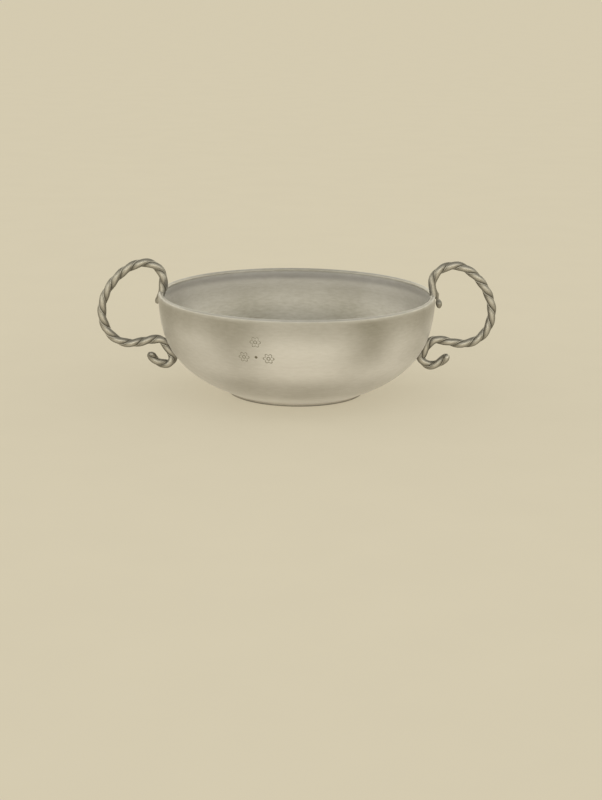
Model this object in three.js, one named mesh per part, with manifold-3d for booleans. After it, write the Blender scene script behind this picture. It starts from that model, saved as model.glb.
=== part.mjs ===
// Small raised silver bowl on a low foot ring, with two scroll handles of twisted half-round wire.
// Millimetres, +Z up. The origin is the centre of the base and the handles lie along X.

import * as THREE from 'three';
import { mergeVertices } from 'three/addons/utils/BufferGeometryUtils.js';
import Module from 'manifold-3d';

// Bowl
const rimDiameter = 114.3;
const bowlHeight = 41.6;
const wallThickness = 1.2;
const lipThickness = 2.0;
const lipTaper = 4.0;            // height over which the lip thins to the wall
const bottomCrown = 0.7;         // rise of the bottom at its centre
const lowerSlope = 22;           // degrees from level where the wall leaves the foot
const lowerFullness = 0.75;      // pull of the curve outwards, as a share of the wall's width
const upperFullness = 0.535;     // pull of the curve downwards, as a share of the wall's height

// Foot ring
const footDiameter = 56.4;
const footHeight = 1.2;
const footWidth = 2.3;
const footEdge = 0.4;            // bevel at the ring's lower outer edge
const footLedge = 0.5;           // width of the flat seat that shows outside the ring

// Handle wires, two to a rope
const wireWidth = 3.1;
const wireThickness = 1.85;
const wireGap = 0.2;             // between the flats of the two wires
const layPitch = 12;             // length of one full turn of the rope
const knobWidth = 2.6;           // across the round knob in which one wire ends
const neckTaper = 2;             // length over which that wire widens again past the knob's neck
const lipEndRound = 1.2;         // length of the rounded end that lies on the lip
const tipRound = 1.8;            // length of the rounded end of the tail
const seatGap = 0.3;             // solder gap between a wire and the bowl

// Places that both handles share
const seatHeight = 16.3;         // height on the wall where the rope is soldered
const seatCover = 0.15;          // depth by which the rope's round is flattened at the seat

// Fullness of each bend of a handle, as a share of the way to the next point
const kneeLow = 0.5;
const kneeHigh = 0.38;
const shoulderFullness = 0.55;
const topFullness = 0.46;
const loopFullness = 0.58;
const crestFlat = 0.3;
const wallFullness = 0.4;
const tipFullness = 0.35;

// Each handle was bent by hand, so the two differ a little. One wire of each goes down outside the lip
// to a knob and the other ends on the lip. Both ends, the shoulder, top and reach are measured outwards
// and upwards from the rim's outer edge, and what follows from where the rope meets the wall.
const rightHandle = {
  knobWire: 'b',
  layStart: -1.8,                // from the shoulder to where the wires begin to turn
  knobOut: 2.0,
  knobDrop: 6.1,
  knobLength: 4.0,               // from the knob's end up to its neck
  neckWidth: 1.3,                // across the wire there, before it is notched over the lip
  lipEndIn: 0.65,
  lipEndDrop: 1.9,
  shoulderIn: 1.35,
  shoulderRise: 4.2,
  topOut: 7.8,
  topRise: 11.9,
  reachOut: 23.7,
  reachDrop: 7.4,
  loopOut: 16.8,
  loopRise: 5.5,
  crestOut: 6.2,
  crestRise: 7.05,
  crestFullness: 0.58,
  heelFullness: 0.35,
  tailOut: 3.9,
  tailDrop: 3.9,
  tailFullness: 0.42,
  tailFlat: 0.39,
  tipOut: 11.4,
  tipRise: 0.8,
  tipAngle: 54,                  // degrees above level at which the tail points
};
const leftHandle = {
  knobWire: 'a',
  layStart: 0.2,
  knobOut: 0.45,
  knobDrop: 5.6,
  knobLength: 4.1,
  neckWidth: 2.6,
  lipEndIn: 1.9,
  lipEndDrop: 2.0,
  shoulderIn: 2.0,
  shoulderRise: 4.3,
  topOut: 5.3,
  topRise: 11.5,
  reachOut: 23.6,
  reachDrop: 8.8,
  loopOut: 16.9,
  loopRise: 4.0,
  crestOut: 5.4,
  crestRise: 5.9,
  crestFullness: 0.5,
  heelFullness: 0.7,
  tailOut: 2.0,
  tailDrop: 4.65,
  tailFullness: 0.75,
  tailFlat: 0.6,
  tipOut: 8.8,
  tipRise: 0.4,
  tipAngle: 78,
};

// Facets
const bowlSegments = 72;
const wallSteps = 10;
const lipSteps = 6;
const bottomSteps = 4;
const stepsPerTurn = 14;
const roundSteps = 4;
const backSteps = 7;

const rimRadius = rimDiameter / 2;
const footRadius = footDiameter / 2;
const lipRadius = lipThickness / 2;
const ropeRadius = wireThickness + wireGap / 2;
const layEase = layPitch / 4;    // length over which the rope begins to turn
const degree = Math.PI / 180;
const nearby = 1e-3;             // share of the path over which its direction is taken
const seatHalvings = 40;         // halvings that find the seat's height on the wall
const weldDistance = 1e-4;       // vertices closer than this are one

const wasm = await Module();
wasm.setup();

// The outer wall: one cubic from the foot's ledge to the lip
function wallCurve() {
  const start = new THREE.Vector2(footRadius + footLedge, footHeight);
  const end = new THREE.Vector2(rimRadius, bowlHeight - lipRadius);
  const lowerPull = lowerFullness * (end.x - start.x);
  const upperPull = upperFullness * (end.y - start.y);
  const lower = new THREE.Vector2(Math.cos(lowerSlope * degree), Math.sin(lowerSlope * degree));
  return new THREE.CubicBezierCurve(
    start,
    start.clone().addScaledVector(lower, lowerPull),
    new THREE.Vector2(end.x, end.y - upperPull),
    end,
  );
}

// The side of a curve in the (radius, height) plane that faces away from the bowl
function outwardNormal(curve, t) {
  const tangent = curve.getTangent(t);
  return new THREE.Vector2(tangent.y, -tangent.x);
}

// The wall is thickest under the lip and thins smoothly below it
function wallThicknessAt(height) {
  const below = (bowlHeight - lipRadius - height) / lipTaper;
  return wallThickness + (lipThickness - wallThickness) * (1 - THREE.MathUtils.smoothstep(below, 0, 1));
}

// Closed section of the bowl from axis to axis, grown all over by a margin
function bowlProfile(margin) {
  const curve = wallCurve();
  const outer = [];
  const inner = [];
  for (let i = 0; i < bottomSteps; i += 1) {
    const share = i / bottomSteps;
    const radius = share * (footRadius - footWidth);
    const crown = bottomCrown * (1 + Math.cos(Math.PI * share)) / 2;
    outer.push(new THREE.Vector2(radius, footHeight + crown - margin));
    inner.push(new THREE.Vector2(radius, footHeight + crown + wallThickness + margin));
  }
  outer.push(new THREE.Vector2(footRadius - footWidth, footHeight - margin));
  inner.push(new THREE.Vector2(footRadius - footWidth, footHeight + wallThickness + margin));
  for (let i = 0; i <= wallSteps; i += 1) {
    const t = i / wallSteps;
    const point = curve.getPoint(t);
    const normal = outwardNormal(curve, t);
    const thickness = wallThicknessAt(point.y);
    outer.push(point.clone().addScaledVector(normal, margin));
    inner.push(point.clone().addScaledVector(normal, -thickness - margin));
  }
  const lip = [];
  for (let i = 1; i < lipSteps; i += 1) {
    const angle = Math.PI * i / lipSteps;
    lip.push(new THREE.Vector2(
      rimRadius - lipRadius + (lipRadius + margin) * Math.cos(angle),
      bowlHeight - lipRadius + (lipRadius + margin) * Math.sin(angle),
    ));
  }
  return [...outer, ...lip, ...inner.reverse()];
}

// Turns a section about Z
function revolve(profile) {
  const geometry = new THREE.LatheGeometry(profile, bowlSegments);
  geometry.rotateX(Math.PI / 2);
  return geometry;
}

// Section of the foot ring: flat below and above, bevelled outside
function footProfile() {
  const inside = footRadius - footWidth;
  return [
    new THREE.Vector2(inside, 0),
    new THREE.Vector2(footRadius - footEdge, 0),
    new THREE.Vector2(footRadius, footEdge),
    new THREE.Vector2(footRadius, footHeight),
    new THREE.Vector2(inside, footHeight),
    new THREE.Vector2(inside, 0),
  ];
}

// The place on the wall at a given height
function wallSeat(height) {
  const curve = wallCurve();
  let low = 0;
  let high = 1;
  for (let i = 0; i < seatHalvings; i += 1) {
    const middle = (low + high) / 2;
    if (curve.getPoint(middle).y < height) low = middle;
    else high = middle;
  }
  return {
    point: curve.getPoint(low),
    normal: outwardNormal(curve, low),
    down: curve.getTangent(low).negate(),
  };
}

// A quarter turn that leaves one point along one axis and reaches the next along the other
function quarter(from, to, leavesUpright, fullness) {
  const first = from.clone();
  const second = to.clone();
  if (leavesUpright) {
    first.y += fullness * (to.y - from.y);
    second.x += fullness * (from.x - to.x);
  } else {
    first.x += fullness * (to.x - from.x);
    second.y += fullness * (from.y - to.y);
  }
  return new THREE.CubicBezierCurve(from, first, second, to);
}

// Centreline of a wire in the (outwards, up) plane, from its upper end to the tail's tip. Past the
// shoulder both wires of a handle follow the same line.
function handleCentreline(handle, hasKnob) {
  const seat = wallSeat(seatHeight);
  const rim = (out, up) => new THREE.Vector2(rimRadius + out, bowlHeight + up);
  const contact = seat.point.clone().addScaledVector(seat.normal, ropeRadius + seatGap - seatCover);
  const fromSeat = (out, up) => new THREE.Vector2(contact.x + out, contact.y + up);
  const start = hasKnob ? rim(handle.knobOut, -handle.knobDrop) : rim(-handle.lipEndIn, -handle.lipEndDrop);
  const shoulder = rim(-handle.shoulderIn, handle.shoulderRise);
  const top = rim(handle.topOut, handle.topRise);
  const reach = rim(handle.reachOut, -handle.reachDrop);
  const loop = fromSeat(handle.loopOut, handle.loopRise);
  const crest = fromSeat(handle.crestOut, handle.crestRise);
  const tail = fromSeat(handle.tailOut, -handle.tailDrop);
  const tip = fromSeat(handle.tipOut, handle.tipRise);
  const path = new THREE.CurvePath();

  // The knee at the lip: upright at both ends
  const rise = shoulder.y - start.y;
  path.add(new THREE.CubicBezierCurve(
    start,
    new THREE.Vector2(start.x, start.y + kneeLow * rise),
    new THREE.Vector2(shoulder.x, shoulder.y - kneeHigh * rise),
    shoulder,
  ));
  path.add(quarter(shoulder, top, true, shoulderFullness));
  path.add(quarter(top, reach, false, topFullness));
  path.add(quarter(reach, loop, true, loopFullness));

  // The S from the loop over the crest and down to the wall
  const flat = crestFlat * (loop.x - crest.x);
  path.add(new THREE.CubicBezierCurve(
    loop,
    new THREE.Vector2(loop.x - flat, loop.y),
    new THREE.Vector2(crest.x + flat, crest.y),
    crest,
  ));
  const fall = crest.y - contact.y;
  path.add(new THREE.CubicBezierCurve(
    crest,
    new THREE.Vector2(crest.x - handle.crestFullness * handle.crestOut, crest.y),
    contact.clone().addScaledVector(seat.down, -wallFullness * fall),
    contact,
  ));
  path.add(new THREE.CubicBezierCurve(
    contact,
    contact.clone().addScaledVector(seat.down, handle.heelFullness * handle.tailDrop),
    new THREE.Vector2(tail.x - handle.tailFullness * handle.tailOut, tail.y),
    tail,
  ));
  const tailRun = tip.x - tail.x;
  path.add(new THREE.CubicBezierCurve(
    tail,
    new THREE.Vector2(tail.x + handle.tailFlat * tailRun, tail.y),
    new THREE.Vector2(
      tip.x - tipFullness * tailRun * Math.cos(handle.tipAngle * degree),
      tip.y - tipFullness * tailRun * Math.sin(handle.tipAngle * degree),
    ),
    tip,
  ));
  return path;
}

// Stations along a wire: close together in the rounded ends, even between them
function wireStations(length, startRound) {
  const stations = [];
  for (let i = 1; i < roundSteps; i += 1) {
    const angle = Math.PI / 2 * i / roundSteps;
    stations.push({ at: startRound * (1 - Math.cos(angle)), round: Math.sin(angle) });
  }
  const middle = length - startRound - tipRound;
  const steps = Math.ceil(middle / layPitch * stepsPerTurn);
  for (let i = 0; i <= steps; i += 1) {
    stations.push({ at: startRound + middle * i / steps, round: 1 });
  }
  for (let i = roundSteps - 1; i > 0; i -= 1) {
    const angle = Math.PI / 2 * i / roundSteps;
    stations.push({ at: length - tipRound * (1 - Math.cos(angle)), round: Math.sin(angle) });
  }
  return stations;
}

// Shape of a wire at a distance from its upper end: half round all along, or a round knob, then a
// neck, then half round. The knob is centred on the line and a half-round wire lies beside it.
function wireShape(handle, hasKnob, at) {
  if (!hasKnob) return { width: wireWidth, depth: wireThickness, knob: 0 };
  const past = THREE.MathUtils.smoothstep(at, handle.knobLength / 2, handle.knobLength);
  const grown = THREE.MathUtils.smoothstep(at, handle.knobLength, handle.knobLength + neckTaper);
  const narrow = THREE.MathUtils.lerp(knobWidth, handle.neckWidth, past);
  return {
    width: THREE.MathUtils.lerp(narrow, wireWidth, grown),
    depth: THREE.MathUtils.lerp(knobWidth / 2, wireThickness, past),
    knob: 1 - past,
  };
}

// Section of a wire: across the flat, and out from it. The back of a half-round one spreads over the
// flat until it closes round a knob.
function wireSection({ width, depth, knob }) {
  const spread = knob * (Math.PI / 2 - Math.PI / (backSteps + 1));
  const section = [];
  for (let i = 0; i <= backSteps; i += 1) {
    const angle = (Math.PI + 2 * spread) * i / backSteps - spread;
    section.push(new THREE.Vector2(width / 2 * Math.cos(angle), depth * Math.sin(angle)));
  }
  return section;
}

// Turn of the rope at a distance past where it begins: an even left-hand lay, eased in
function layAngle(run) {
  if (run <= 0) return 0;
  const turned = run < layEase ? run * run / (2 * layEase) : run - layEase / 2;
  return -2 * Math.PI * turned / layPitch;
}

// One wire of the rope, lofted along the centreline. The quads are split so that the flats hollow
// a little between stations and the two wires stay clear of each other.
function wireGeometry(handle, hasKnob, turn) {
  const path = handleCentreline(handle, hasKnob);
  const length = path.getLength();
  const layFrom = path.curves[0].getLength() + handle.layStart;
  const count = backSteps + 1;
  const stations = wireStations(length, hasKnob ? handle.knobLength / 2 : lipEndRound);
  const positions = [];
  const indices = [];
  for (const { at, round } of stations) {
    const shape = wireShape(handle, hasKnob, at);
    const offset = (1 - shape.knob) * wireGap / 2;
    const share = at / length;
    const centre = path.getPoint(share);
    const before = path.getPoint(Math.max(share - nearby, 0));
    const after = path.getPoint(Math.min(share + nearby, 1));
    const tangent = after.sub(before).normalize();
    const side = new THREE.Vector3(tangent.y, 0, -tangent.x);
    const across = new THREE.Vector3(0, 1, 0);
    const angle = layAngle(at - layFrom) + turn;
    const along = side.clone().multiplyScalar(Math.cos(angle)).addScaledVector(across, Math.sin(angle));
    const out = side.clone().multiplyScalar(-Math.sin(angle)).addScaledVector(across, Math.cos(angle));
    for (const point of wireSection(shape)) {
      const place = new THREE.Vector3(centre.x, 0, centre.y)
        .addScaledVector(along, point.x * round)
        .addScaledVector(out, offset + point.y * round);
      positions.push(place.x, place.y, place.z);
    }
  }
  for (let i = 0; i < stations.length - 1; i += 1) {
    for (let j = 0; j < count; j += 1) {
      const a = i * count + j;
      const b = i * count + (j + 1) % count;
      const c = a + count;
      const d = b + count;
      indices.push(a, b, c, b, d, c);
    }
  }
  const last = (stations.length - 1) * count;
  for (let j = 1; j < count - 1; j += 1) {
    indices.push(0, j + 1, j);
    indices.push(last, last + j, last + j + 1);
  }
  const geometry = new THREE.BufferGeometry();
  geometry.setAttribute('position', new THREE.Float32BufferAttribute(positions, 3));
  geometry.setIndex(indices);
  return geometry;
}

// Solid from a closed geometry
function toSolid(geometry) {
  const bare = geometry.clone();
  bare.deleteAttribute('normal');
  bare.deleteAttribute('uv');
  const merged = mergeVertices(bare, weldDistance);
  const triVerts = [];
  const index = merged.index.array;
  for (let i = 0; i < index.length; i += 3) {
    const [a, b, c] = [index[i], index[i + 1], index[i + 2]];
    if (a !== b && b !== c && c !== a) triVerts.push(a, b, c);
  }
  return new wasm.Manifold(new wasm.Mesh({
    numProp: 3,
    vertProperties: new Float32Array(merged.attributes.position.array),
    triVerts: new Uint32Array(triVerts),
  }));
}

// Geometry from a solid
function toGeometry(solid) {
  const mesh = solid.getMesh();
  const geometry = new THREE.BufferGeometry();
  geometry.setAttribute('position', new THREE.Float32BufferAttribute(mesh.vertProperties, 3));
  geometry.setIndex(Array.from(mesh.triVerts));
  geometry.computeVertexNormals();
  return geometry;
}

// A wire notched over the lip and flattened where it meets the wall
function seatedWire(handle, hasKnob, turn, bowlRoom) {
  const cut = toSolid(wireGeometry(handle, hasKnob, turn)).subtract(bowlRoom);
  const bodies = cut.decompose();
  bodies.sort((one, other) => other.volume() - one.volume());
  return toGeometry(bodies[0]);
}

// Aged silver, a little darker on the foot and handles than on the bowl
const bowlFinish = { color: 0xc9c2b2, roughness: 0.38 };
const footFinish = { color: 0xb3ab9a, roughness: 0.42 };
const wireFinish = { color: 0xb8b09f, roughness: 0.4 };

function silver(finish) {
  return new THREE.MeshStandardMaterial({ ...finish, metalness: 1 });
}

function named(name, geometry, material) {
  const mesh = new THREE.Mesh(geometry, material);
  mesh.name = name;
  return mesh;
}

const group = new THREE.Group();
group.add(named('bowl_body', revolve(bowlProfile(0)), silver(bowlFinish)));
group.add(named('foot_ring', revolve(footProfile()), silver(footFinish)));

const bowlRoom = toSolid(revolve(bowlProfile(seatGap)));
const sides = [
  { side: 'right', handle: rightHandle, facing: 0 },
  { side: 'left', handle: leftHandle, facing: Math.PI },
];
for (const { side, handle, facing } of sides) {
  const rope = new THREE.Group();
  rope.rotation.z = facing;
  for (const [letter, turn] of [['a', Math.PI], ['b', 0]]) {
    const geometry = seatedWire(handle, letter === handle.knobWire, turn, bowlRoom);
    rope.add(named(`${side}_handle_wire_${letter}`, geometry, silver(wireFinish)));
  }
  group.add(rope);
}

export default group;
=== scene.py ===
"""Small raised silver bowl with two scroll handles of twisted half-round wire, on a pale floor."""
import math

import bpy
import numpy as np
from mathutils import Matrix, Vector


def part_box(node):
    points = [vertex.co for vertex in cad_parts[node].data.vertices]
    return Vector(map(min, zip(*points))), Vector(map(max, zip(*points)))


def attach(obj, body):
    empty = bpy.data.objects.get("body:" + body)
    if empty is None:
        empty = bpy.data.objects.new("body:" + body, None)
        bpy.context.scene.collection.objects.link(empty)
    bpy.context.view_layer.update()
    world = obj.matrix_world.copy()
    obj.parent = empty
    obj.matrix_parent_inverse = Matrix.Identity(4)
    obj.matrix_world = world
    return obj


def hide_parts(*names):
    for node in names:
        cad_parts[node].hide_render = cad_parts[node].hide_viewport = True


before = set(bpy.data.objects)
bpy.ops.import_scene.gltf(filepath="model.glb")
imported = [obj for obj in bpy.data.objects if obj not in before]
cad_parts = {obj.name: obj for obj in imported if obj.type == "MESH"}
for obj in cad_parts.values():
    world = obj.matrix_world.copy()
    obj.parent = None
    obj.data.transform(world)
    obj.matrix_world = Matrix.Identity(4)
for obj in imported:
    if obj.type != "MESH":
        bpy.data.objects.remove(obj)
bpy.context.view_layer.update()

MM = 0.001

# Sizes that the frame gives
_, bowl_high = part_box("bowl_body")
_, foot_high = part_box("foot_ring")
RIM_RADIUS = bowl_high.x
BOWL_HEIGHT = bowl_high.z
FOOT_RADIUS = foot_high.x
FOOT_HEIGHT = foot_high.z

# Bowl
WALL_THICKNESS = 1.2 * MM
LIP_THICKNESS = 2.0 * MM
LIP_RADIUS = LIP_THICKNESS / 2
LIP_TAPER = 4.0 * MM             # height over which the wall thickens to the lip
BOTTOM_CROWN = 0.7 * MM          # rise of the domed bottom at its middle
LOWER_SLOPE = math.radians(22)   # at which the wall leaves the foot
LOWER_FULLNESS = 0.75
UPPER_FULLNESS = 0.535
WELL_BLEND = 11 * MM             # reach of the soft turn from the bottom into the wall, inside
WELL_FULLNESS = 0.6

# Foot ring
FOOT_WIDTH = 2.3 * MM
FOOT_LEDGE = 0.5 * MM            # flat seat under the bowl that shows outside the ring
FOOT_EDGE = 0.35 * MM
FOOT_FILLET = 0.25 * MM          # of solder, in the corner under the bowl
FOOT_JOIN = 0.1 * MM             # depth of the ring's top in the bowl

# Unevenness that the hammer leaves, and the heights between which it begins. Each of its waves has
# a number round the bowl, a lean in radians per millimetre up, a start in radians and a share.
HAMMER_DEPTH = 0.05 * MM
HAMMER_START = (FOOT_HEIGHT + 1 * MM, 12 * MM)
HAMMER_WAVES = (
    (3, 0, 0.7, 0.35), (5, 1 / 9, 2.1, 0.3), (8, -1 / 6, 4.0, 0.2), (13, 1 / 4, 0, 0.15),
)

# Engraved mark on the front of the wall: three small rosettes round a pellet
MARK_TURN = math.radians(-106.3)
MARK_HEIGHT = 28.4 * MM
MARK_REACH = 7.6 * MM            # half of the finely meshed patch that holds it
MARK_MARGIN = 1.05               # by which that patch is wider than it is high
ROSETTES = ((0.0 * MM, 3.9 * MM), (-5.0 * MM, -2.7 * MM), (5.0 * MM, -2.7 * MM))
ROSETTE_RADIUS = 2.1 * MM
PETAL_WAIST = 0.58               # radius between two petals, as a share of the rosette's
ROSETTE_EYE = 0.3                # radius of the ring in the middle, as a share of the rosette's
PELLET = (0.0 * MM, -2.4 * MM)
PELLET_RADIUS = 0.75 * MM
PELLET_FLAT = 0.6                # share of the pellet that has its full depth
CUT_WIDTH = 0.68 * MM
CUT_DEPTH = 0.12 * MM

# Tarnish and painted shade of the bowl, from 0 for clean silver to 1 for the stain's full tone.
# Apart from the engraved lines it is painted shade: on the lip against its highlight, under the
# lip, low on the wall, in cloudy patches and inside. A pair in millimetres is the heights, or the
# drops from the rim, between which it comes or goes.
# painted shade on the lip, outside and inside, which tones down its highlight
LIP_SHADE_OUTSIDE, LIP_SHADE_INSIDE = 0.6, 0.72
LIP_DROP = (0.9 * MM, 1.5 * MM)
LIP_INNER_TURN = (0.35 * np.pi, 0.9 * np.pi)  # way round the lip over which it becomes inside
# painted shade on the outer wall just under the lip
UNDER_LIP_SHADE = 0.53
UNDER_LIP_SHADE_COMES = (1.3 * MM, 2.2 * MM)
UNDER_LIP_SHADE_GOES = (2 * MM, 14 * MM)
LOW_SHADE, LOW_SHADE_FRONT = 0.2, 0.22   # painted shade low on the wall: all round, and added at the front and back
LOW_SHADE_COMES = (2 * MM, 8 * MM)
LOW_SHADE_GOES = (11 * MM, 20 * MM)
# painted shade inside: a little all over, more below the rim and low down, less toward the handles
# and more between them
INSIDE_RIM = 0.13
INSIDE_DEEP, INSIDE_DEEP_DROP = 0.53, (0, 9.5 * MM)
INSIDE_LOW, INSIDE_LOW_GOES = 0.13, (22 * MM, 32 * MM)
BOTTOM_SHARE = 0.55              # of the inside's painted shade, on the bottom
WALL_COMES = (8 * MM, 20 * MM)
ENDS_LESS, ENDS = 0.2, (0.5, 0.9)           # toward the handles, over the turn's cosine
BETWEEN_MORE, BETWEEN = 0.14, (0.42, 0.16)  # between them and the front or back: middle, reach
CUT_TARNISH = 1.15

# Cloudy patches of painted shade on the outside, and like patches round the back: turn from the
# front and half width in degrees, depth, and the heights in millimetres between which a patch grows
# to it
PAINTED_SHADE_PATCHES = (
    (-67, 16, 0.52, 9, 22), (-50, 11, 0.14, 12, 26), (-24, 11, 0.30, 4, 14),
    (-27, 11, 0.42, 18, 34), (31, 12, 0.68, 13, 31), (62, 13, 0.44, 12, 26),
    (86, 13, 0.34, 6, 16), (118, 15, 0.42, 10, 26), (152, 12, 0.55, 14, 31),
    (203, 14, 0.50, 12, 30), (243, 12, 0.40, 8, 24),
)

# Painted shade of the foot: its tone where it rests, and its changes going up, which darken it low
# down and under the bowl: by how much, and the shares of the foot's height between which it changes
FOOT_SHADE = 0.3
FOOT_SHADE_CHANGES = ((0.65, 0, 0.1), (-0.7, 0.2, 0.6), (0.5, 0.75, 1))

# Handle wires, in millimetres
WIRE_WIDTH = 3.04
WIRE_THICKNESS = 1.86
WIRE_EDGE = 0.3
SEAM_GAP = 0.04                  # between the flats of the two wires
LAY_PITCH = 12.0                 # length of one full turn of the rope
LAY_EASE = LAY_PITCH / 4         # length over which the rope begins to turn
KNOB_WIDTH = 2.6
NECK_TAPER = 2.0                 # length over which the wire widens again past a knob's neck
CURL_PITCH = 1.3                 # between the turns of the groove round a knob
CURL_DEPTH = 0.22
CURL_SHARPNESS = 8
CURL_GOES = (0.3, 0.55)          # shares of the knob's length over which the groove ends
LIP_END_ROUND = 1.2
TIP_ROUND = 1.8
SEAT_HEIGHT = 16.3
SEAT_DISTANCE = 1.92             # from the wall to the rope's centreline, where it is soldered on

# Tarnish and painted shade of a wire: patina in the seams, spread over the lobes as painted shade,
# painted shade round the rope's outline, and painted highlights left on the crowns and along one
# edge.
# Heights are millimetres from its flat, and facing is 1 where it faces squarely to the front or
# back.
SEAM_PATINA_AND_SHADE, SEAM_SHADE_HEIGHTS = 0.8, (0.2, 1.4)
# painted shade round the rope's outline, where the wire turns away from the front and back
OUTLINE_SHADE, OUTLINE_FACING = 0.72, (0.55, 0.99)
OFF_CROWN_SHADE, CROWN_HEIGHTS, CROWN_FACING = 0.32, (1.3, 1.8), (0.88, 1.0)  # painted shade off the crowns, which stay as painted highlights
KNOB_TARNISH = 0.35
# painted highlight: a bright line along one edge of each wire beside the seam
EDGE_HIGHLIGHT, EDGE_HEIGHT, EDGE_SPREAD = 0.9, 0.2, (0.06, 0.28)

# Fullness of each bend of a handle, as a share of the way to the next point
LIP_END_KNEE = (0.5, 0.38)       # of the wire that ends on the lip: at its end, at the shoulder
SHOULDER_FULLNESS = 0.55
TOP_FULLNESS = 0.46
LOOP_FULLNESS = 0.58
CREST_FLAT = 0.3
WALL_FULLNESS = 0.4
TIP_FULLNESS = 0.35

# Each handle's own bend in millimetres. One wire goes down outside the lip to a knob and the other
# ends on the lip. The first places, up to the reach, are measured from the rim's outer edge at the
# lip's top, and those after it from the rope's centreline where it meets the wall. The knee is the
# fullness from the knob to the shoulder. The lay starts at a distance from the shoulder, and the
# turn is that of wire a before it, in degrees.
RIGHT_HANDLE = {
    "knob_wire": "b", "turn": 180, "lay_start": -1.8,
    "knob": (1.85, -6.1), "knob_length": 4.0, "neck_width": 1.3, "knee": (0.5, 0.38),
    "lip_end": (-0.65, -1.9), "shoulder": (-1.35, 4.2), "top": (7.8, 11.9), "reach": (23.7, -7.4),
    "loop": (16.8, 5.5), "crest": (6.2, 7.05), "crest_fullness": 0.58, "heel_fullness": 0.35,
    "tail": (3.9, -3.9), "tail_fullness": 0.42, "tail_flat": 0.39,
    "tip": (11.4, 0.8), "tip_angle": 54,
}
LEFT_HANDLE = {
    "knob_wire": "a", "turn": 0, "lay_start": -5.8,
    "knob": (0.6, -5.6), "knob_length": 3.6, "neck_width": 2.9, "knee": (0.25, 0.7),
    "lip_end": (-1.9, -0.8), "shoulder": (-2.0, 4.3), "top": (5.3, 11.5), "reach": (23.6, -8.8),
    "loop": (16.9, 4.0), "crest": (5.4, 5.9), "crest_fullness": 0.5, "heel_fullness": 0.7,
    "tail": (2.0, -4.65), "tail_fullness": 0.75, "tail_flat": 0.6,
    "tip": (8.8, 0.4), "tip_angle": 78,
}

# Noise in the materials: scale, detail and stretch
CLOUD_NOISE = (42, 5, (1, 1, 1))
HATCH_NOISE = (320, 3, (1, 1, 4))
GRAIN_NOISE = (900, 3, (1, 1, 1))
RUBBED_NOISE = (260, 4, (1, 1, 10))
PAPER_NOISE = (30, 6, (1, 1, 1))
NOISE_RANGE = (0.3, 0.7)         # which holds nearly all of a noise
GRAIN_SMOOTHER, GRAIN_ROUGHER = 0.04, 0.05
RUBBED_STRENGTH = 0.12
RUBBED_DEPTH = 0.02 * MM

# Floor
FLOOR_REACH = 8                  # metres from the middle to each side
PAPER_COLOUR = (0.805, 0.76, 0.67)
PAPER_SHOWN = (0.67, 0.60, 0.44)
PAPER_SHOWN_SHARE = 0.5
PAPER_ROUGHNESS = 0.95
PAPER_MOTTLE = 0.015

# Camera at the picture's viewing angle
FRAME_WIDTH, FRAME_HEIGHT = 602, 800
FOCAL_PIXELS = 1756.0
SENSOR_WIDTH = 36
CAMERA_DISTANCE = 731.9 * MM
CAMERA_ELEVATION = math.radians(12.69)
CAMERA_ROLL = math.radians(0.71)
TARGET = Vector((0, 0, 20 * MM))
TARGET_PIXEL = (296.3, 343.1)
CLIP_NEAR, CLIP_FAR = 0.01, 50

# Light: a pale horizon, a bright soft ring low all round and a dimmer ceiling. The ring begins and
# ends between two angles above level, in degrees.
HORIZON = (0.66, 0.60, 0.45)
RING = (1.60, 1.51, 1.22)
CEILING = (0.66, 0.63, 0.53)
RING_BEGINS = (5, 13)
RING_ENDS = (19, 33)


# Curves and meshes

def bezier(p0, p1, p2, p3, share):
    """Points of a cubic curve at the given shares of its way."""
    t = np.asarray(share)[:, None]
    p0, p1, p2, p3 = (np.asarray(p, float) for p in (p0, p1, p2, p3))
    return ((1 - t) ** 3 * p0 + 3 * (1 - t) ** 2 * t * p1
            + 3 * (1 - t) * t * t * p2 + t ** 3 * p3)


def smoothstep(value, low, high):
    """Soft step from 0 at low to 1 at high."""
    t = np.clip((value - low) / (high - low), 0, 1)
    return t * t * (3 - 2 * t)


def tangents_of(points):
    """Unit directions along a line of points."""
    step = np.gradient(points, axis=0)
    return step / np.linalg.norm(step, axis=1)[:, None]


def length_along(points):
    """Distance of each point from the first, along the line."""
    return np.concatenate([[0], np.cumsum(np.linalg.norm(np.diff(points, axis=0), axis=1))])


def mesh_object(name, vertices, faces, **attributes):
    """A smooth-shaded mesh with float attributes on its points."""
    mesh = bpy.data.meshes.new(name)
    mesh.from_pydata(np.asarray(vertices).tolist(), [], faces)
    mesh.polygons.foreach_set("use_smooth", [True] * len(mesh.polygons))
    for key, values in attributes.items():
        layer = mesh.attributes.new(key, "FLOAT", "POINT")
        layer.data.foreach_set("value", np.asarray(values, np.float32))
    mesh.update()
    obj = bpy.data.objects.new(name, mesh)
    bpy.context.scene.collection.objects.link(obj)
    return obj


def grid_faces(rows, columns, round_rows, round_columns):
    """Quads of a grid of points whose rows and columns may close on themselves."""
    i, j = np.meshgrid(np.arange(rows if round_rows else rows - 1),
                       np.arange(columns if round_columns else columns - 1), indexing="ij")
    a, b = i * columns + j, (i + 1) % rows * columns + j
    c, d = (i + 1) % rows * columns + (j + 1) % columns, i * columns + (j + 1) % columns
    return np.stack([a, b, c, d], -1).reshape(-1, 4).tolist()


def ring_points(radius, height, turns):
    """Points at a radius, height and turn about the axis."""
    return np.stack([radius * np.cos(turns), radius * np.sin(turns), height], -1)


# Bowl

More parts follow.
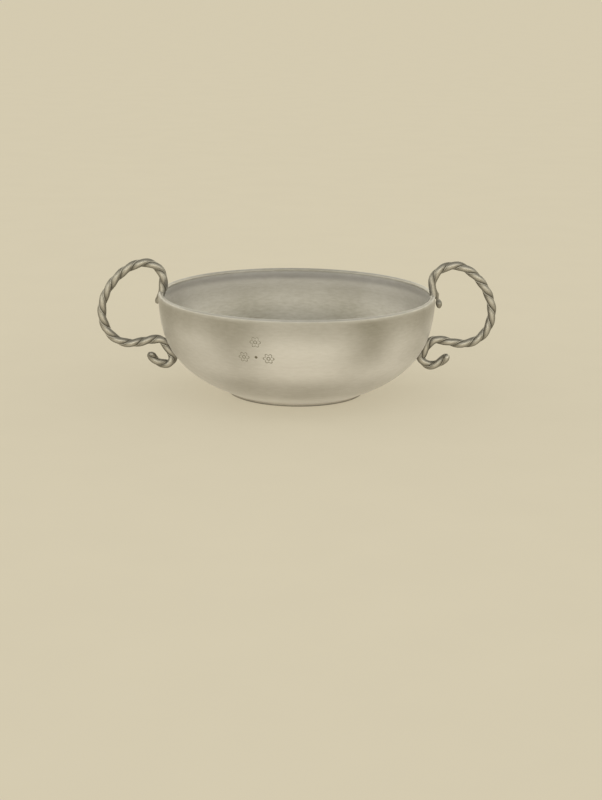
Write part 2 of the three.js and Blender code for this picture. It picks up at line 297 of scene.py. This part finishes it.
def wall_curve(share):
    """Outer wall from the foot's ledge to the lip, as (radius, height)."""
    start = np.array([FOOT_RADIUS + FOOT_LEDGE, FOOT_HEIGHT])
    end = np.array([RIM_RADIUS, BOWL_HEIGHT - LIP_RADIUS])
    lower = np.array([math.cos(LOWER_SLOPE), math.sin(LOWER_SLOPE)])
    first = start + lower * LOWER_FULLNESS * (end[0] - start[0])
    second = end - np.array([0, UPPER_FULLNESS * (end[1] - start[1])])
    return bezier(start, first, second, end, share)


def outward_normals(line):
    """Unit normals to the right of a line that goes up."""
    along = tangents_of(line)
    return np.stack([along[:, 1], -along[:, 0]], 1)


def wall_shares(coarse=0.8 * MM, fine=0.11 * MM, samples=2001):
    """Shares of the way up the wall, close together where the mark is, and their distance up the
    wall from the mark's middle."""
    share = np.linspace(0, 1, samples)
    wall = wall_curve(share)
    along = length_along(wall)
    centre = np.interp(MARK_HEIGHT, wall[:, 1], along)
    low, high = centre - MARK_REACH, centre + MARK_REACH
    at = np.concatenate([
        np.linspace(0, low, int(low / coarse), endpoint=False),
        np.linspace(low, high, int((high - low) / fine), endpoint=False),
        np.linspace(high, along[-1], int((along[-1] - high) / coarse)),
    ])
    return np.interp(at, along, share), at - centre


def inside_line(wall_steps=90, blend_steps=24, bottom_steps=14):
    """Inside of the bowl from the axis to the lip, with a soft turn out of the bottom."""
    wall = wall_curve(np.linspace(0, 1, wall_steps))
    below = (BOWL_HEIGHT - LIP_RADIUS - wall[:, 1]) / LIP_TAPER
    thickness = WALL_THICKNESS + (LIP_THICKNESS - WALL_THICKNESS) * (1 - smoothstep(below, 0, 1))
    wall = wall - outward_normals(wall) * thickness[:, None]
    corner = wall[0]
    wall = wall[length_along(wall) > WELL_BLEND]
    radius = np.linspace(0, corner[0] - WELL_BLEND, bottom_steps)
    crown = (1 + np.cos(np.pi * np.minimum(radius / (FOOT_RADIUS - FOOT_WIDTH), 1))) / 2
    bottom = np.stack([radius, FOOT_HEIGHT + WALL_THICKNESS + BOTTOM_CROWN * crown], 1)
    leave = bottom[-1] + tangents_of(bottom)[-1] * WELL_BLEND * WELL_FULLNESS
    arrive = wall[0] - tangents_of(wall)[0] * WELL_BLEND * WELL_FULLNESS
    turn = bezier(bottom[-1], leave, arrive, wall[0], np.linspace(0, 1, blend_steps)[1:-1])
    return np.vstack([bottom, turn, wall])


def bowl_section(lip_steps=28, bottom_steps=16, far=1.0):
    """Closed section of the bowl from axis to axis. For each of its points also the distance up the
    wall from the mark, which is far off the wall, and 0 for outside to 1 for inside."""
    share, from_mark = wall_shares()
    wall = wall_curve(share)
    radius = np.linspace(0, FOOT_RADIUS - FOOT_WIDTH, bottom_steps)
    crown = BOTTOM_CROWN * (1 + np.cos(np.pi * radius / radius[-1])) / 2
    under = np.stack([radius, FOOT_HEIGHT + crown], 1)
    angle = np.linspace(0, np.pi, lip_steps)[1:-1]
    lip = np.stack([
        RIM_RADIUS - LIP_RADIUS + LIP_RADIUS * np.cos(angle),
        BOWL_HEIGHT - LIP_RADIUS + LIP_RADIUS * np.sin(angle),
    ], 1)
    inside = inside_line()[::-1]
    section = np.vstack([under, wall, lip, inside])
    mark = np.concatenate([
        np.full(len(under), far), from_mark, np.full(len(lip) + len(inside), far)])
    inner = np.concatenate([
        np.zeros(len(under) + len(wall)), smoothstep(angle, *LIP_INNER_TURN),
        np.ones(len(inside))])
    return section, mark, inner


def bowl_turns(coarse=1.25, fine=0.115):
    """Angles about the axis, close together where the mark is."""
    reach = math.degrees(MARK_REACH / (RIM_RADIUS - LIP_RADIUS)) * MARK_MARGIN
    near = np.linspace(-reach, reach, int(2 * reach / fine), endpoint=False)
    rest = np.linspace(reach, 360 - reach, int((360 - 2 * reach) / coarse), endpoint=False)
    return MARK_TURN + np.radians(np.concatenate([near, rest]))


def hammer_wave(height, turn):
    """Slight unevenness of a hand-raised wall, from 0 to 2."""
    return 1 + sum(share * np.cos(count * turn + height / MM * lean + start)
                   for count, lean, start, share in HAMMER_WAVES)


def engraved(across, up):
    """How deep the engraved lines are at a place on the wall, from 0 to 1."""
    cut = np.zeros(np.broadcast(across, up).shape)
    for x, y in ROSETTES:
        distance = np.hypot(across - x, up - y)
        around = np.arctan2(up - y, across - x)
        petal = ROSETTE_RADIUS * (PETAL_WAIST + (1 - PETAL_WAIST) * np.abs(np.cos(3 * around)))
        for line in (petal, ROSETTE_EYE * ROSETTE_RADIUS):
            cut = np.maximum(cut, 1 - smoothstep(np.abs(distance - line), 0, CUT_WIDTH / 2))
    pellet = np.hypot(across - PELLET[0], up - PELLET[1])
    return np.maximum(cut, 1 - smoothstep(pellet, PELLET_RADIUS * PELLET_FLAT, PELLET_RADIUS))


def tarnish_outside(height, turn, lip):
    """Painted shade of the outside: on the lip, under it, low on the wall and in cloudy patches."""
    drop = BOWL_HEIGHT - height
    under_lip_shade = smoothstep(drop, *UNDER_LIP_SHADE_COMES) * (1 - smoothstep(drop, *UNDER_LIP_SHADE_GOES))
    clean = 1 - UNDER_LIP_SHADE * under_lip_shade
    for centre, half_width, depth, low, high in PAINTED_SHADE_PATCHES:
        away = np.angle(np.exp(1j * (turn + math.radians(90 - centre))))
        patch = depth * np.exp(-(away / math.radians(half_width)) ** 2)
        clean = clean * (1 - patch * smoothstep(height, low * MM, high * MM) * (1 - lip))
    low_shade = smoothstep(height, *LOW_SHADE_COMES) * (1 - smoothstep(height, *LOW_SHADE_GOES))
    clean = clean * (1 - low_shade * (LOW_SHADE + LOW_SHADE_FRONT * np.abs(np.sin(turn)) ** 3))
    return 1 - clean * (1 - LIP_SHADE_OUTSIDE * lip)


def tarnish_inside(height, turn, lip):
    """Painted shade of the inside: on the lip, and deeper down the wall than on the bottom."""
    toward_handle = np.abs(np.cos(turn))
    ends = smoothstep(toward_handle, *ENDS)
    between = np.exp(-((toward_handle - BETWEEN[0]) / BETWEEN[1]) ** 2)
    deepened = BOTTOM_SHARE + smoothstep(height, *WALL_COMES) * (
        1 - BOTTOM_SHARE - ENDS_LESS * ends + BETWEEN_MORE * between)
    deep = INSIDE_DEEP * smoothstep(BOWL_HEIGHT - height, *INSIDE_DEEP_DROP)
    low_down = INSIDE_LOW * (1 - smoothstep(height, *INSIDE_LOW_GOES))
    inside = INSIDE_RIM + (deep + low_down) * deepened
    return 1 - (1 - inside) * (1 - LIP_SHADE_INSIDE * lip)


def bowl_tarnish(height, turn, inner, cut):
    """Painted shade on the bowl, outside and inside, and tarnish in the engraved lines."""
    lip = 1 - smoothstep(BOWL_HEIGHT - height, *LIP_DROP)
    outside = tarnish_outside(height, turn, lip)
    inside = tarnish_inside(height, turn, lip)
    return np.maximum(outside * (1 - inner) + inside * inner, CUT_TARNISH * cut)


def make_bowl(name):
    """The bowl as one closed mesh, its section turned about the axis with a fan at each pole."""
    section, mark, inner = bowl_section()
    turns = bowl_turns()[:, None]
    ring = slice(1, -1)
    height = np.repeat(section[None, ring, 1], len(turns), 0)
    off_centre = np.angle(np.exp(1j * (turns - MARK_TURN)))
    cut = engraved(off_centre * section[None, ring, 0], mark[None, ring])
    hammered = smoothstep(height, *HAMMER_START) * HAMMER_DEPTH
    radius = (section[None, ring, 0] - hammered * hammer_wave(height, turns)
              - cut * CUT_DEPTH * (1 - inner[None, ring]))
    points = ring_points(radius, height, turns)
    rows, columns = height.shape
    faces = grid_faces(rows, columns, True, False)
    low, high = rows * columns, rows * columns + 1
    for i in range(rows):
        a, b = i * columns, (i + 1) % rows * columns
        faces.append((low, b, a))
        faces.append((high, a + columns - 1, b + columns - 1))
    vertices = np.vstack([points.reshape(-1, 3), [0, 0, section[0, 1]], [0, 0, section[-1, 1]]])
    # painted shade on the bowl, with tarnish in the engraved lines
    tarnish = bowl_tarnish(height, turns, inner[None, ring], cut)
    inside = np.broadcast_to(inner[None, ring], height.shape)
    poles = tarnish[:, [0, -1]].mean(0)
    return mesh_object(name, vertices, faces, tarnish=np.append(tarnish.ravel(), poles),
                       inside=np.append(inside.ravel(), (0.0, 1.0)))


# Foot

def foot_section(steps=8):
    """Section of the foot ring with eased edges and a small solder fillet under the bowl."""
    inside = FOOT_RADIUS - FOOT_WIDTH
    turn = np.linspace(0, np.pi / 2, steps)
    low_out = np.stack([FOOT_RADIUS - FOOT_EDGE + FOOT_EDGE * np.sin(turn),
                        FOOT_EDGE - FOOT_EDGE * np.cos(turn)], 1)
    rise = np.stack([FOOT_RADIUS + FOOT_FILLET * (1 - np.cos(turn)),
                     FOOT_HEIGHT - FOOT_FILLET * (1 - np.sin(turn))], 1)
    top = np.array([[FOOT_RADIUS - FOOT_WIDTH / 4, FOOT_HEIGHT + FOOT_JOIN],
                    [inside + FOOT_WIDTH / 4, FOOT_HEIGHT + FOOT_JOIN],
                    [inside, FOOT_HEIGHT]])
    low_in = np.stack([inside + FOOT_EDGE - FOOT_EDGE * np.sin(turn[::-1]),
                       FOOT_EDGE - FOOT_EDGE * np.cos(turn[::-1])], 1)
    return np.vstack([low_out, rise, top, low_in[:-1]])


def make_foot(name, segments=240):
    section = foot_section()
    turns = np.linspace(0, 2 * np.pi, segments, endpoint=False)[:, None]
    height = np.repeat(section[None, :, 1], segments, 0)
    points = ring_points(section[None, :, 0], height, turns)
    # painted shade low on the foot and in the corner under the bowl
    tarnish = FOOT_SHADE + sum(change * smoothstep(height / FOOT_HEIGHT, low, high)
                                 for change, low, high in FOOT_SHADE_CHANGES)
    return mesh_object(name, points.reshape(-1, 3), grid_faces(*height.shape, True, True),
                       tarnish=tarnish.ravel(), inside=np.zeros(tarnish.size))


# Handles, worked out in millimetres

def wall_seat(samples=4001):
    """Where the rope is soldered to the wall: its point, outward normal and downward direction."""
    wall = wall_curve(np.linspace(0, 1, samples))
    i = int(np.argmin(np.abs(wall[:, 1] - SEAT_HEIGHT * MM)))
    return wall[i] / MM, outward_normals(wall)[i], -tangents_of(wall)[i]


def quarter(start, end, leaves_upright, fullness):
    """Control points of a bend that leaves along one axis and arrives along the other."""
    first, second = start.copy(), end.copy()
    if leaves_upright:
        first[1] += fullness * (end[1] - start[1])
        second[0] -= fullness * (end[0] - start[0])
    else:
        first[0] += fullness * (end[0] - start[0])
        second[1] -= fullness * (end[1] - start[1])
    return start, first, second, end


def handle_centreline(handle, has_knob, steps=400):
    """Centreline of a wire as (outwards, up), from its upper end to the tail's tip, and the length
    of its knee, from that end to the shoulder. Past the shoulder both wires share the line."""
    point, normal, down = wall_seat()
    rim = np.array([RIM_RADIUS, BOWL_HEIGHT]) / MM
    seat = point + normal * SEAT_DISTANCE
    start = rim + np.array(handle["knob" if has_knob else "lip_end"])
    shoulder, top, reach = (rim + np.array(handle[key]) for key in ("shoulder", "top", "reach"))
    loop, crest, tail, tip = (
        seat + np.array(handle[key]) for key in ("loop", "crest", "tail", "tip"))
    rise = shoulder[1] - start[1]
    knee_low, knee_high = handle["knee"] if has_knob else LIP_END_KNEE
    flat = CREST_FLAT * (loop[0] - crest[0])
    crest_out, fall = crest - seat
    tail_out, tail_drop = tail[0] - seat[0], seat[1] - tail[1]
    run = tip[0] - tail[0]
    angle = math.radians(handle["tip_angle"])
    aim = np.array([math.cos(angle), math.sin(angle)])
    bends = [
        (start, start + [0, knee_low * rise], shoulder - [0, knee_high * rise], shoulder),
        quarter(shoulder, top, True, SHOULDER_FULLNESS),
        quarter(top, reach, False, TOP_FULLNESS),
        quarter(reach, loop, True, LOOP_FULLNESS),
        (loop, loop - [flat, 0], crest + [flat, 0], crest),
        (crest, crest - [handle["crest_fullness"] * crest_out, 0],
         seat - down * WALL_FULLNESS * fall, seat),
        (seat, seat + down * handle["heel_fullness"] * tail_drop,
         tail - [handle["tail_fullness"] * tail_out, 0], tail),
        (tail, tail + [handle["tail_flat"] * run, 0], tip - aim * TIP_FULLNESS * run, tip),
    ]
    share = np.linspace(0, 1, steps, endpoint=False)
    line = np.vstack([bezier(*bend, share) for bend in bends] + [tip])
    return line, length_along(line)[steps]


def wire_section(edge_steps=5, back_steps=26, flat_steps=4):
    """Half-round section with eased edges: across the flat, and out from it."""
    half = WIRE_WIDTH / 2 - WIRE_EDGE
    deep = WIRE_THICKNESS - 2 * WIRE_EDGE
    points = []
    for angle in np.linspace(-np.pi / 2, 0, edge_steps, endpoint=False):
        points.append((half + WIRE_EDGE * math.cos(angle), WIRE_EDGE * (1 + math.sin(angle))))
    for angle in np.linspace(0, np.pi, back_steps):
        normal = np.array([deep * math.cos(angle), half * math.sin(angle)])
        normal /= np.linalg.norm(normal)
        points.append((half * math.cos(angle) + WIRE_EDGE * normal[0],
                       WIRE_EDGE + deep * math.sin(angle) + WIRE_EDGE * normal[1]))
    for angle in np.linspace(np.pi, 1.5 * np.pi, edge_steps + 1)[1:]:
        points.append((-half + WIRE_EDGE * math.cos(angle), WIRE_EDGE * (1 + math.sin(angle))))
    for share in np.linspace(0, 1, flat_steps + 1)[1:-1]:
        points.append((half * (2 * share - 1), 0))
    return np.array(points)


def wire_stations(length, start_round, spacing=0.2, round_steps=10):
    """Distances along a wire and the section's size there, small in the rounded ends."""
    angle = np.linspace(0, np.pi / 2, round_steps, endpoint=False)[1:]
    head = start_round * (1 - np.cos(angle))
    tail = length - TIP_ROUND * (1 - np.cos(angle[::-1]))
    middle = np.arange(start_round, length - TIP_ROUND, spacing)
    at = np.concatenate([head, middle, tail])
    return at, np.concatenate([np.sin(angle), np.ones(len(middle)), np.sin(angle[::-1])])


def wire_sections(handle, has_knob, at):
    """Sections at the stations, and how much of each is knob: half round all along, or a round
    knob with a groove curled round its lower part, then a neck, then half round."""
    section = wire_section()
    half_round = np.repeat((section + [0, SEAM_GAP / 2])[None], len(at), 0)
    if not has_knob:
        return half_round, np.zeros(len(at))
    length = handle["knob_length"]
    past = smoothstep(at, length / 2, length)
    narrow = KNOB_WIDTH + (handle["neck_width"] - KNOB_WIDTH) * past
    grown = smoothstep(at, length, length + NECK_TAPER)
    half_round[..., 0] *= (narrow + (WIRE_WIDTH - narrow) * grown)[:, None] / WIRE_WIDTH
    around = np.arctan2(section[:, 1] - WIRE_THICKNESS / 3, section[:, 0])[None]
    groove = np.cos(2 * np.pi * at[:, None] / CURL_PITCH - around) ** CURL_SHARPNESS
    groove *= (1 - smoothstep(at / length, *CURL_GOES))[:, None]
    radius = KNOB_WIDTH / 2 - CURL_DEPTH * groove
    knob = np.stack([radius * np.cos(around), radius * np.sin(around)], -1)
    return knob + (half_round - knob) * past[:, None, None], 1 - past


def lay_angle(run):
    """Turn of the rope at a distance past where it begins: an even left-hand lay, eased in."""
    run = np.maximum(run, 0)
    turned = np.where(run < LAY_EASE, run * run / (2 * LAY_EASE), run - LAY_EASE / 2)
    return -2 * np.pi * turned / LAY_PITCH


def facing_of(points, tangent, side):
    """How squarely each point of a wire faces the front or back, from 0 to 1."""
    edges = np.roll(points, -1, axis=1) - np.roll(points, 1, axis=1)
    along = np.stack([tangent[:, 0] * side, np.zeros(len(tangent)), tangent[:, 1]], 1)
    normals = np.cross(edges, along[:, None])
    return np.abs(normals[..., 1]) / np.maximum(np.linalg.norm(normals, axis=-1), 1e-9)


def wire_tarnish(section, facing, knob):
    """Patina and painted shade on a wire: patina beside the seams that spreads as painted shade,
    painted shade round the rope's outline, painted highlights on the crowns that face to the front
    and back and on one edge of the wire, and darker knobs."""
    knob = knob[:, None]
    height = section[None, :, 1]
    seam = 1 - smoothstep(height, *SEAM_SHADE_HEIGHTS)
    outline = 1 - smoothstep(facing, *OUTLINE_FACING)
    crown = smoothstep(height, *CROWN_HEIGHTS) * smoothstep(facing, *CROWN_FACING)
    edge = 1 - smoothstep(np.abs(height - EDGE_HEIGHT), *EDGE_SPREAD)
    highlight_edge = (section[None, :, 0] > 0) * edge
    clean = (1 - SEAM_PATINA_AND_SHADE * seam * (1 - knob)) * (1 - OUTLINE_SHADE * outline)
    clean = clean * (1 - OFF_CROWN_SHADE * (1 - crown)) * (1 - KNOB_TARNISH * knob)
    return (1 - clean) * (1 - EDGE_HIGHLIGHT * highlight_edge * (1 - knob))


def wire_mesh(name, handle, has_knob, turn, side):
    """One wire of a handle's rope. side is 1 for the right handle and -1 for the left."""
    line, knee_length = handle_centreline(handle, has_knob)
    run = length_along(line)
    at, size = wire_stations(run[-1], handle["knob_length"] / 2 if has_knob else LIP_END_ROUND)
    along = tangents_of(line)
    centre = np.stack([np.interp(at, run, line[:, k]) for k in (0, 1)], 1)
    tangent = np.stack([np.interp(at, run, along[:, k]) for k in (0, 1)], 1)
    tangent /= np.linalg.norm(tangent, axis=1)[:, None]
    zero = np.zeros(len(at))
    place = np.stack([centre[:, 0], zero, centre[:, 1]], 1)
    across = np.stack([tangent[:, 1], zero, -tangent[:, 0]], 1)
    level = np.array([0, 1, 0])
    angle = (lay_angle(at - knee_length - handle["lay_start"]) + turn)[:, None]
    flat = across * np.cos(angle) + level * np.sin(angle)
    out = -across * np.sin(angle) + level * np.cos(angle)
    sections, knob = wire_sections(handle, has_knob, at)
    sections = sections * size[:, None, None]
    points = place[:, None] + flat[:, None] * sections[..., :1] + out[:, None] * sections[..., 1:]
    points[..., :2] *= side
    rows, columns = sections.shape[:2]
    faces = [face[::-1] for face in grid_faces(rows, columns, False, True)]
    faces.append(tuple(range(columns))[::-1])
    faces.append(tuple((rows - 1) * columns + j for j in range(columns)))
    # patina and painted shade on the wire, with painted highlights
    tarnish = wire_tarnish(wire_section(), facing_of(points, tangent, side), knob)
    return mesh_object(name, points.reshape(-1, 3) * MM, faces, tarnish=tarnish.ravel(),
                       inside=np.zeros(tarnish.size))


# Materials

def new_material(name):
    material = bpy.data.materials.new(name)
    material.use_nodes = True
    nodes = material.node_tree.nodes
    return material, nodes, material.node_tree.links, nodes["Principled BSDF"]


def noise(nodes, links, place, scale, detail, stretch):
    """Noise in the object's own space, finer along an axis that is stretched."""
    mapping = nodes.new("ShaderNodeMapping")
    mapping.inputs["Scale"].default_value = stretch
    links.new(place, mapping.inputs["Vector"])
    texture = nodes.new("ShaderNodeTexNoise")
    texture.inputs["Scale"].default_value = scale
    texture.inputs["Detail"].default_value = detail
    links.new(mapping.outputs["Vector"], texture.inputs["Vector"])
    return texture.outputs["Fac"]


def spread(nodes, links, value, low, high, to_low, to_high):
    """A value carried from one range to another, and held within it."""
    node = nodes.new("ShaderNodeMapRange")
    node.inputs["From Min"].default_value = low
    node.inputs["From Max"].default_value = high
    node.inputs["To Min"].default_value = to_low
    node.inputs["To Max"].default_value = to_high
    links.new(value, node.inputs["Value"])
    return node.outputs["Result"]


def math_node(nodes, links, operation, first, second):
    node = nodes.new("ShaderNodeMath")
    node.operation = operation
    for socket, value in zip(node.inputs, (first, second)):
        if isinstance(value, (int, float)):
            socket.default_value = value
        else:
            links.new(value, socket)
    return node.outputs["Value"]


def colour_mix(nodes, links, share, first, second, held=True):
    """Mix of two colours, each a constant or a socket. The share may be held between 0 and 1."""
    mix = nodes.new("ShaderNodeMix")
    mix.data_type = "RGBA"
    mix.clamp_factor = held
    links.new(share, mix.inputs[0])
    for socket, value in ((mix.inputs[6], first), (mix.inputs[7], second)):
        if isinstance(value, tuple):
            socket.default_value = (*value, 1)
        else:
            links.new(value, socket)
    return mix.outputs[2]


def attribute(nodes, name):
    node = nodes.new("ShaderNodeAttribute")
    node.attribute_name = name
    return node.outputs["Fac"]


def silver(name, bright, stain_and_shade, roughness, cloudiness, streaks, inner_streaks):
    """Aged satin silver: patina and painted shade where the mesh says, clouded, with fine rubbed
    scratches.
    """
    material, nodes, links, shader = new_material(name)
    shader.inputs["Metallic"].default_value = 1.0
    place = nodes.new("ShaderNodeTexCoord").outputs["Object"]

    cloud = noise(nodes, links, place, *CLOUD_NOISE)
    cloud = spread(nodes, links, cloud, *NOISE_RANGE, -cloudiness, cloudiness)
    hatch = noise(nodes, links, place, *HATCH_NOISE)
    hatch = spread(nodes, links, hatch, *NOISE_RANGE, -1, 1)
    inner = spread(nodes, links, attribute(nodes, "inside"), 0, 1, streaks, inner_streaks)
    hatch = math_node(nodes, links, "MULTIPLY", hatch, inner)
    # the mesh's patina and painted shade, with cloudy and streaky tone
    patina_and_shade = math_node(nodes, links, "ADD", attribute(nodes, "tarnish"), cloud)
    patina_and_shade = math_node(nodes, links, "ADD", patina_and_shade, hatch)

    # The engraved lines go past the stain to a darker tone, so the share isn't held
    colour = colour_mix(nodes, links, patina_and_shade, bright, stain_and_shade, held=False)
    links.new(colour, shader.inputs["Base Color"])

    grain = noise(nodes, links, place, *GRAIN_NOISE)
    rough = spread(nodes, links, grain, *NOISE_RANGE,
                   roughness - GRAIN_SMOOTHER, roughness + GRAIN_ROUGHER)
    links.new(rough, shader.inputs["Roughness"])

    rubbed = noise(nodes, links, place, *RUBBED_NOISE)
    bump = nodes.new("ShaderNodeBump")
    bump.inputs["Strength"].default_value = RUBBED_STRENGTH
    bump.inputs["Distance"].default_value = RUBBED_DEPTH
    links.new(rubbed, bump.inputs["Height"])
    links.new(bump.outputs["Normal"], shader.inputs["Normal"])
    return material


def paper(name, colour, shown, shown_share):
    """Plain matt paper with a faint mottle. The camera and rays that metal or glass sends out see a
    share of its shown colour beside its lit one, so that its shadow is soft."""
    material, nodes, links, shader = new_material(name)
    place = nodes.new("ShaderNodeTexCoord").outputs["Object"]
    mottle = spread(nodes, links, noise(nodes, links, place, *PAPER_NOISE), *NOISE_RANGE, 0, 1)
    darker, lighter = (
        tuple(change * c for c in colour) for change in (1 - PAPER_MOTTLE, 1 + PAPER_MOTTLE))
    links.new(colour_mix(nodes, links, mottle, darker, lighter), shader.inputs["Base Color"])
    shader.inputs["Roughness"].default_value = PAPER_ROUGHNESS
    shader.inputs["Specular IOR Level"].default_value = 0.0
    glow = nodes.new("ShaderNodeEmission")
    glow.inputs["Color"].default_value = (*shown, 1)
    glow.inputs["Strength"].default_value = 1.0
    rays = nodes.new("ShaderNodeLightPath").outputs
    seen = math_node(nodes, links, "MAXIMUM", rays["Is Camera Ray"], rays["Is Glossy Ray"])
    seen = math_node(nodes, links, "MAXIMUM", seen, rays["Is Transmission Ray"])
    seen = math_node(nodes, links, "MULTIPLY", seen, shown_share)
    both = nodes.new("ShaderNodeMixShader")
    links.new(seen, both.inputs["Fac"])
    links.new(shader.outputs["BSDF"], both.inputs[1])
    links.new(glow.outputs["Emission"], both.inputs[2])
    links.new(both.outputs["Shader"], nodes["Material Output"].inputs["Surface"])
    return material


# Camera and light

def make_camera():
    """Camera that shows the target at its place in the picture."""
    data = bpy.data.cameras.new("camera")
    camera = bpy.data.objects.new("camera", data)
    bpy.context.scene.collection.objects.link(camera)
    bpy.context.scene.camera = camera
    data.sensor_width = SENSOR_WIDTH
    data.lens = FOCAL_PIXELS * SENSOR_WIDTH / FRAME_HEIGHT
    toward = Vector((0, math.cos(CAMERA_ELEVATION), -math.sin(CAMERA_ELEVATION)))
    upward = Vector((0, math.sin(CAMERA_ELEVATION), math.cos(CAMERA_ELEVATION)))
    upward.rotate(Matrix.Rotation(-CAMERA_ROLL, 3, toward))
    right = toward.cross(upward)
    aside = TARGET_PIXEL[0] - FRAME_WIDTH / 2
    above = FRAME_HEIGHT / 2 - TARGET_PIXEL[1]
    aim = (toward * FOCAL_PIXELS - right * aside - upward * above).normalized()
    side = aim.cross(upward).normalized()
    camera.matrix_world = Matrix.Translation(TARGET - toward * CAMERA_DISTANCE) @ Matrix((
        side, side.cross(aim), -aim)).transposed().to_4x4()
    data.clip_start, data.clip_end = CLIP_NEAR, CLIP_FAR


def make_world():
    """Light from all round, with colours that change only with the angle above level."""
    world = bpy.data.worlds.new("studio")
    bpy.context.scene.world = world
    world.use_nodes = True
    nodes, links = world.node_tree.nodes, world.node_tree.links
    split = nodes.new("ShaderNodeSeparateXYZ")
    links.new(nodes.new("ShaderNodeTexCoord").outputs["Generated"], split.inputs["Vector"])

    def blend(degrees, first, second):
        low, high = (math.sin(math.radians(angle)) for angle in degrees)
        rise = nodes.new("ShaderNodeMapRange")
        rise.interpolation_type = "SMOOTHSTEP"
        rise.inputs["From Min"].default_value = low
        rise.inputs["From Max"].default_value = high
        links.new(split.outputs["Z"], rise.inputs["Value"])
        return colour_mix(nodes, links, rise.outputs["Result"], first, second)

    colour = blend(RING_BEGINS, HORIZON, RING)
    colour = blend(RING_ENDS, colour, CEILING)
    links.new(colour, nodes["Background"].inputs["Color"])


# Scene

make_camera()
make_world()

bowl_silver = silver("bowl_silver", bright=(0.96, 0.96, 0.99), stain_and_shade=(0.34, 0.325, 0.285),
                     roughness=0.46, cloudiness=0.06, streaks=0.04, inner_streaks=0.06)
wire_silver = silver("wire_silver", bright=(0.68, 0.66, 0.62), stain_and_shade=(0.18, 0.17, 0.145),
                     roughness=0.42, cloudiness=0.05, streaks=0.03, inner_streaks=0.03)
foot_silver = silver("foot_silver", bright=(0.94, 0.93, 0.92), stain_and_shade=(0.24, 0.22, 0.19),
                     roughness=0.46, cloudiness=0.06, streaks=0.04, inner_streaks=0.04)

bowl = make_bowl("raised_bowl")
bowl.data.materials.append(bowl_silver)
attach(bowl, "root")
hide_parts("bowl_body")

foot = make_foot("foot_wire_ring")
foot.data.materials.append(foot_silver)
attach(foot, "root")
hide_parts("foot_ring")

for side_name, handle, side in (("right", RIGHT_HANDLE, 1), ("left", LEFT_HANDLE, -1)):
    for letter, half_turn in (("a", 0), ("b", 180)):
        has_knob = letter == handle["knob_wire"]
        turn = math.radians(handle["turn"] + half_turn)
        wire = wire_mesh(f"{side_name}_twisted_wire_{letter}", handle, has_knob, turn, side)
        wire.data.materials.append(wire_silver)
        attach(wire, "root")
        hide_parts(f"{side_name}_handle_wire_{letter}")

floor = mesh_object("floor", [
    (-FLOOR_REACH, -FLOOR_REACH, 0), (FLOOR_REACH, -FLOOR_REACH, 0),
    (FLOOR_REACH, FLOOR_REACH, 0), (-FLOOR_REACH, FLOOR_REACH, 0),
], [(0, 1, 2, 3)])
floor.data.materials.append(paper("paper", PAPER_COLOUR, PAPER_SHOWN, PAPER_SHOWN_SHARE))

bpy.context.scene.view_settings.view_transform = "Standard"
